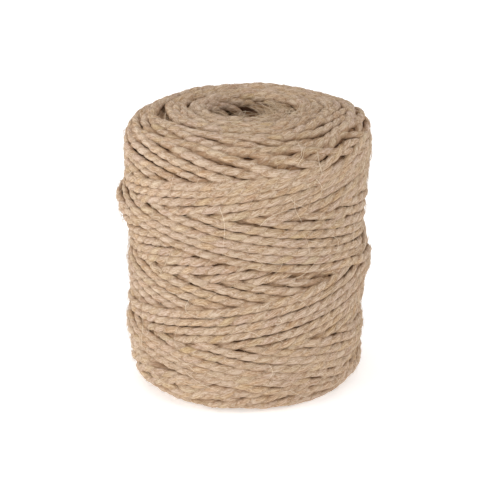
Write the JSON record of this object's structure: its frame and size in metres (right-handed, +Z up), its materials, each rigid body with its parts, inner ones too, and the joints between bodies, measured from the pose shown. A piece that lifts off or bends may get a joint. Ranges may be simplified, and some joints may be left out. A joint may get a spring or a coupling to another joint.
{
  "type": "coreless spool of two-ply sisal twine",
  "caption": "Cross-wound tube of natural sisal twine standing on its end, with an open centre bore, rounded shoulders and uneven crossing bands.",
  "frame": {"origin": "middle of the box around the spool, on the surface it stands on", "axes": "+Z up along the bore, -Y is the front of the spool, +X is its right side seen from the front"},
  "size_m": [0.0998, 0.0954, 0.1102],
  "materials": {
    "sisal": "dry, matt natural fibre with a faint sheen along the strands"
  },
  "bodies": {
    "root": {"twine_winding": "sisal"}
  },
  "joints": []
}
